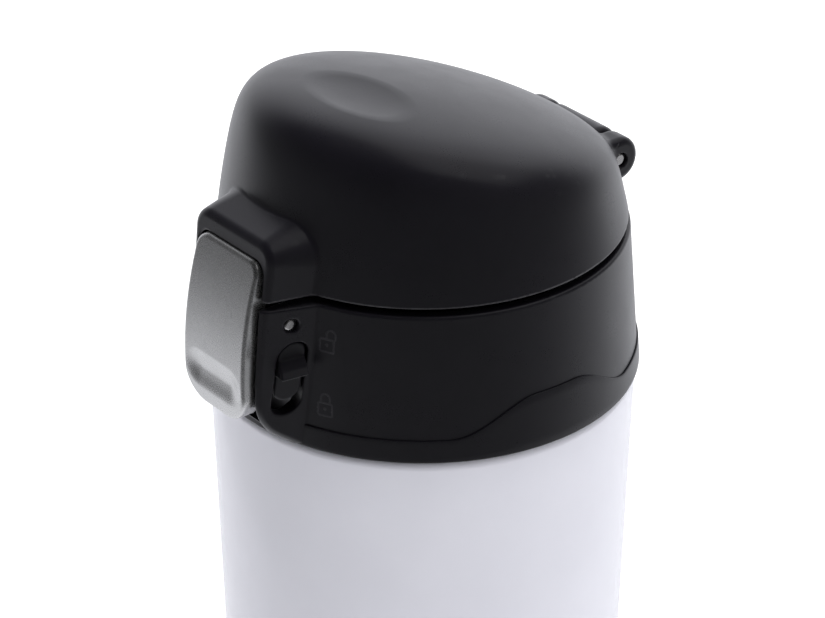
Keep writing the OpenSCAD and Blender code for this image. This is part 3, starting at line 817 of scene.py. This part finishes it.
keep(SEAL, "neck_gasket", "mouthpiece_gasket", "lid_seal")

# ------------------------------------------------------------------ studio

CAMERA_AT = Vector((372.6, -303.0, 397.9)) * MM
LOOK_AT = Vector((-1.04, -1.29, 129.79)) * MM
LENS = 145.05


def camera():
    """The camera at the photo's viewing angle."""
    data = bpy.data.cameras.new("camera")
    data.lens = LENS
    data.sensor_width = 36
    data.clip_start = 0.01
    holder = bpy.data.objects.new("camera", data)
    holder.location = CAMERA_AT
    holder.rotation_euler = (LOOK_AT - CAMERA_AT).to_track_quat("-Z", "Y").to_euler()
    bpy.context.scene.collection.objects.link(holder)
    bpy.context.scene.camera = holder


def area_light(name, place, size, power, mirrored=True):
    """A softbox aimed at the mug, which glossy faces may mirror or not."""
    data = bpy.data.lights.new(name, "AREA")
    data.shape = "RECTANGLE"
    data.size, data.size_y = size
    data.energy = power
    holder = bpy.data.objects.new(name, data)
    holder.location = place
    holder.rotation_euler = (LOOK_AT - Vector(place)).to_track_quat("-Z", "Y").to_euler()
    holder.visible_glossy = mirrored
    bpy.context.scene.collection.objects.link(holder)


def floor():
    """A plain pale floor."""
    n = 24
    half = 3.0
    steps = np.linspace(-half, half, n + 1)
    x, y = np.meshgrid(steps, steps, indexing="ij")
    places = np.stack([x, y, np.zeros_like(x)], axis=-1).reshape(-1, 3)
    i, j = np.meshgrid(np.arange(n), np.arange(n), indexing="ij")
    first = i * (n + 1) + j
    faces = np.stack([first, first + n + 1, first + n + 2, first + 1], axis=-1).reshape(-1, 4)
    mesh = bpy.data.meshes.new("floor")
    mesh.from_pydata(places.tolist(), [], faces.tolist())
    holder = bpy.data.objects.new("floor", mesh)
    holder.visible_glossy = False
    paint = bpy.data.materials.new("pale_floor")
    paint.use_nodes = True
    shader = paint.node_tree.nodes["Principled BSDF"]
    shader.inputs["Base Color"].default_value = (0.93, 0.93, 0.93, 1)
    shader.inputs["Roughness"].default_value = 0.9
    shader.inputs["Emission Color"].default_value = (1, 1, 1, 1)
    shader.inputs["Emission Strength"].default_value = 0.35
    mesh.materials.append(paint)
    bpy.context.scene.collection.objects.link(holder)


def studio_world():
    """A studio with a bright backdrop and table, dark in front of the mug."""
    world = bpy.data.worlds.new("studio")
    world.use_nodes = True
    tree = world.node_tree
    place = node(tree, "ShaderNodeTexCoord").outputs["Generated"]
    away = LOOK_AT - CAMERA_AT
    away.z = 0
    away.normalize()
    backdrop = (0, (0.3, 0.95, 0.0, 0.8))
    room = (-2, (-0.6, 0.1, 0.012, 0.13))
    table = (-2, (0.1, 0.72, 0.0, 0.9))
    parts = []
    for fall, span in (backdrop, room, table):
        dot = node(tree, "ShaderNodeVectorMath", operation="DOT_PRODUCT")
        dot.inputs[1].default_value = Vector((away.x, away.y, fall)).normalized()
        tree.links.new(place, dot.inputs[0])
        parts.append(map_range(tree, dot.outputs["Value"], *span, "SMOOTHSTEP"))
    glow = combine(tree, "ADD", combine(tree, "ADD", parts[0], parts[1]), parts[2])
    tint = mix_colour(tree, glow, (0, 0, 0), (0.94, 0.95, 1.0))
    tree.links.new(tint, tree.nodes["Background"].inputs["Color"])
    tree.nodes["Background"].inputs["Strength"].default_value = 1.08
    bpy.context.scene.world = world


camera()
floor()
studio_world()
area_light("top_softbox", (-0.15, 0.12, 1.1), (0.9, 0.9), 14, mirrored=False)
area_light("top_glow", (0.25, 0.55, 1.2), (1.6, 1.1), 2.5)
area_light("side_fill", (0.95, 0.1, 0.55), (0.6, 0.6), 2.5, mirrored=False)
bpy.context.scene.view_settings.view_transform = "Standard"
